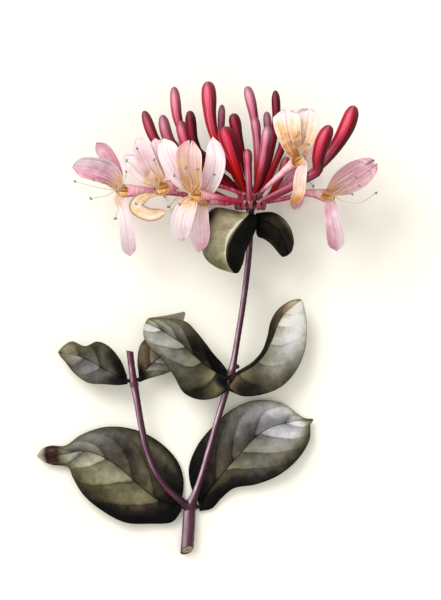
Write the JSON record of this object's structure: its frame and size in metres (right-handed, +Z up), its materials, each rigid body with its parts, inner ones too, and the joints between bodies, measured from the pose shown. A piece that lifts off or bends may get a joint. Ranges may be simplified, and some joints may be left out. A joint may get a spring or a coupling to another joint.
{
  "type": "honeysuckle vine",
  "caption": "Cut sprig of climbing honeysuckle lying on its side, with waved leaves in pairs, a side shoot and a head of club-shaped buds and two-lipped open flowers.",
  "frame": {"origin": "under the lower fork of the stem, on the small flat spot of the wood that rests on the surface", "axes": "+Z up from the surface that the sprig lies on, +Y along the sprig from its cut end to the flower head, +X to the right for someone looking down on it with the flower head away from them"},
  "size_m": [0.1191, 0.1658, 0.0432],
  "materials": {
    "bark": "satin",
    "leaf": "satin",
    "bud": "satin",
    "petal": "soft",
    "stamen": "matte",
    "ovary": "satin"
  },
  "bodies": {
    "root": {"stem": "bark", "leaf_lower_left": "leaf", "leaf_lower_right": "leaf", "leaf_side_left": "leaf", "leaf_side_right": "leaf", "leaf_middle_left": "leaf", "leaf_middle_right": "leaf", "leaf_head_left": "leaf", "leaf_head_right": "leaf", "bud_01": "bud", "bud_02": "bud", "bud_03": "bud", "bud_04": "bud", "bud_05": "bud", "bud_06": "bud", "bud_07": "bud", "bud_08": "bud", "bud_09": "bud", "bud_10": "bud", "bud_11": "bud", "bud_12": "bud", "bud_13": "bud", "bud_14": "bud", "bud_15": "bud", "bud_16": "bud", "bud_17": "bud", "bud_18": "bud", "bud_19": "bud", "bud_20": "bud", "bud_21": "bud", "bud_22": "bud", "flower_far_left": "petal", "flower_far_left_stamens": "stamen", "flower_left": "petal", "flower_left_stamens": "stamen", "flower_front_left": "petal", "flower_front_left_stamens": "stamen", "flower_inner_left": "petal", "flower_inner_left_stamens": "stamen", "flower_front_right": "petal", "flower_front_right_stamens": "stamen", "flower_far_right": "petal", "flower_far_right_stamens": "stamen", "flower_under_left": "petal", "flower_under_left_stamens": "stamen", "flower_under_right": "petal", "flower_under_right_stamens": "stamen", "head_base": "ovary"}
  },
  "joints": []
}
